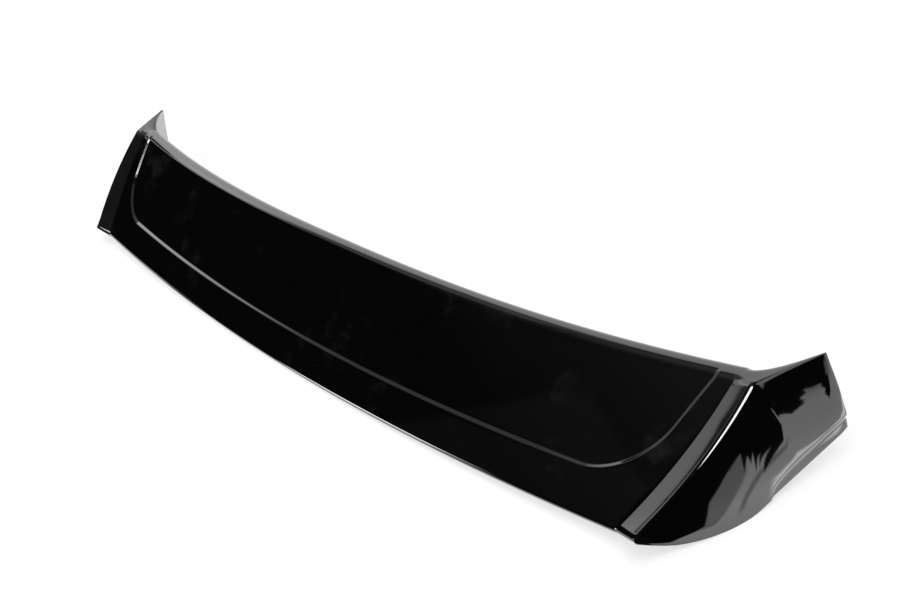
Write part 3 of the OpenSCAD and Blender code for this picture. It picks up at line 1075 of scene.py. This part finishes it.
# Windows in the air: left, right, bottom, top and soft edge.
SIDE_WINDOW = (-99.5, -60.0, 0.0, 50.0, 0.6)
SIDE_FOOT = (-92.0, -77.0, -5.0, 26.0, 1.5)
CORNER = (-89.0, -74.0, 29.0, 35.0, 1.0)
OVERHEAD = (-38.0, 52.0, 59.5, 76.0, 0.6)
CEILING = (-140.0, -50.0, 36.0, 90.0, 1.0)
SIDE_FOOT_LIGHT = 0.35
CORNER_LIGHT = 0.6
REAR_WINDOWS = (
    ((-140.0, -128.5, -12.0, 22.0, 0.7), 7.0),
    ((-152.0, -142.0, -40.0, -8.0, 1.0), 1.0),
    ((-118.0, -112.0, -25.0, 18.0, 0.7), 1.5),
    ((-170.0, -126.0, 20.0, 46.0, 0.5), 0.02),
)


def window(across, above, left, right, bottom, top, edge):
    """1 inside a window of directions, in degrees, with soft edges."""
    return (
        across.beyond(left, edge)
        * (1.0 - across.beyond(right, edge))
        * above.beyond(bottom, edge)
        * (1.0 - above.beyond(top, edge))
    )


def studio_in_gloss(board, x, y, z, stage):
    """Light of the studio as the paint mirrors it, by the compass and height of a direction."""
    ahead = x.maths("ARCTAN2", y) * DEGREE
    behind = x.maths("ARCTAN2", y * -1.0) * DEGREE
    above = z.maths("ARCSINE") * DEGREE
    under_wall_top = 1.0 - (above - board.curve(ahead, WALL_TOP)).beyond(0.0, WALL_TOP_EDGE)
    before_right = 1.0 - (ahead - board.curve(above, WALL_RIGHT)).beyond(0.0, WALL_RIGHT_EDGE)
    wall = ahead.beyond(*WALL_LEFT) * before_right * under_wall_top
    wall = wall * board.curve(above, WALL_LIGHT)
    past_start = ahead - board.curve(above, SIDE_START)
    side = (above - board.curve(ahead, SIDE_BOTTOM)).beyond(0.0, SIDE_BOTTOM_EDGE)
    side = side * past_start.beyond(*SIDE_GAP) * window(ahead, above, *SIDE_WINDOW)
    side = side * board.curve(above, SIDE_LIGHT)
    side = side + window(ahead, above, *SIDE_FOOT) * SIDE_FOOT_LIGHT
    side = side + window(ahead, above, *CORNER) * CORNER_LIGHT
    strip = past_start.beyond(*STRIP_FROM) * (1.0 - past_start.beyond(*STRIP_TO))
    strip = strip * ahead.beyond(*STRIP_LEFT)
    strip = strip * above.beyond(*STRIP_BOTTOM) * (1.0 - above.beyond(*STRIP_TOP))
    ceiling = board.curve(above, CEILING_LIGHT) * window(ahead, above, *CEILING)
    passage = ahead.between(*CEILING_PASSAGE)
    ceiling = ceiling * (passage * (1.0 - CEILING_SHARE) + CEILING_SHARE)
    lit = wall * stage.wall_light + side * stage.side_light + strip * stage.strip_light
    lit = lit + window(behind, above, *OVERHEAD) * stage.overhead_light + ceiling
    for place, light in REAR_WINDOWS:
        lit = lit + window(ahead, above, *place) * light
    return lit + stage.room_light


def build_studio_air(stage):
    """The studio round the object: plain light, white to the camera. In the gloss it is a dark
    room with a white wall ahead, its edge on the left, a strip overhead and a few windows."""
    world = bpy.data.worlds.new("studio_air")
    world.use_nodes = True
    bpy.context.scene.world = world
    board = Board(world.node_tree)
    way = board.node("ShaderNodeTexCoord", {}, {}, "Generated")
    mirrored = studio_in_gloss(board, *board.axes(way), stage)
    path = board.node("ShaderNodeLightPath", {}, {}, "Is Camera Ray")
    glossy = path.out("Is Glossy Ray")
    strength = path + glossy * mirrored + (1.0 - path - glossy).clamp() * stage.air_light
    sky = board.node(
        "ShaderNodeBackground", {}, {"Color": WHITE, "Strength": strength}, "Background"
    )
    board.node("ShaderNodeOutputWorld", {}, {"Surface": sky})


SENSOR_WIDTH = 36.0
CLIP_START = 0.05
CLIP_END = 60.0

# Lamps: name, place, width and power.
LAMPS = (
    ("key_lamp", (0.6, 0.6, 2.6), 2.4, 50.0),
    ("fill_lamp", (-1.6, -1.4, 2.2), 2.0, 25.0),
)


def soft_lamp(name, place, width, power):
    """A large soft lamp aimed at the object, which stays out of the gloss."""
    lamp = bpy.data.lights.new(name, "AREA")
    lamp.shape = "DISK"
    lamp.size = width
    lamp.energy = power
    thing = bpy.data.objects.new(name, lamp)
    place = Vector(place)
    thing.matrix_world = Matrix.Translation(place) @ (
        (-place).to_track_quat("-Z", "Y").to_matrix().to_4x4()
    )
    thing.visible_glossy = False
    bpy.context.scene.collection.objects.link(thing)


def place_camera(stage):
    """The camera at the photograph's viewing angle."""
    data = bpy.data.cameras.new("camera")
    data.sensor_width = SENSOR_WIDTH
    data.sensor_fit = "HORIZONTAL"
    data.lens = stage.lens
    data.clip_start = CLIP_START
    data.clip_end = CLIP_END
    look = Vector(stage.camera_look).normalized()
    up = Vector(stage.camera_up)
    right = look.cross(up).normalized()
    up = right.cross(look)
    turned = Matrix((right, up, -look)).transposed().to_4x4()
    camera = bpy.data.objects.new("camera", data)
    camera.matrix_world = Matrix.Translation(Vector(stage.camera_place)) @ turned
    bpy.context.scene.collection.objects.link(camera)
    bpy.context.scene.camera = camera


class SPOILER_OT_stage(bpy.types.Operator):
    """Set up the camera, the pale floor and the studio light"""

    bl_idname = "spoiler.stage"
    bl_label = "Stage"
    bl_options = {"REGISTER", "UNDO"}

    def execute(self, context):
        stage = context.scene.spoiler.stage
        build_floor(stage)
        build_studio_air(stage)
        for lamp in LAMPS:
            soft_lamp(*lamp)
        place_camera(stage)
        context.scene.view_settings.view_transform = "Standard"
        return {"FINISHED"}


class SPOILER_PT_panel(bpy.types.Panel):
    """Steps and settings of the roof spoiler"""

    bl_idname = "SPOILER_PT_panel"
    bl_label = "Roof Spoiler"
    bl_space_type = "VIEW_3D"
    bl_region_type = "UI"
    bl_category = "Spoiler"

    def draw(self, context):
        layout = self.layout
        settings = context.scene.spoiler
        for step in STEPS:
            layout.operator(step.bl_idname)
        for group_name in ("overall", "deck", "recess", "facet", "edge", "ear", "paint", "stage"):
            group = getattr(settings, group_name)
            box = layout.box()
            box.label(text=group_name.capitalize())
            for prop in group.bl_rna.properties:
                if not prop.is_readonly and prop.identifier != "name":
                    box.prop(group, prop.identifier)


STEPS = (SPOILER_OT_stage, SPOILER_OT_shell)
CLASSES = (
    OverallSizes,
    DeckSizes,
    RecessSizes,
    FacetSizes,
    EdgeSizes,
    EarSizes,
    PaintSettings,
    StageSettings,
    SpoilerSettings,
) + STEPS + (SPOILER_PT_panel,)


def register():
    for cls in CLASSES:
        bpy.utils.register_class(cls)
    bpy.types.Scene.spoiler = PointerProperty(type=SpoilerSettings)


def unregister():
    del bpy.types.Scene.spoiler
    for cls in reversed(CLASSES):
        bpy.utils.unregister_class(cls)


def main():
    register()
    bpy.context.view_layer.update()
    bpy.ops.spoiler.stage()
    bpy.ops.spoiler.shell()


if __name__ == "__main__":
    main()
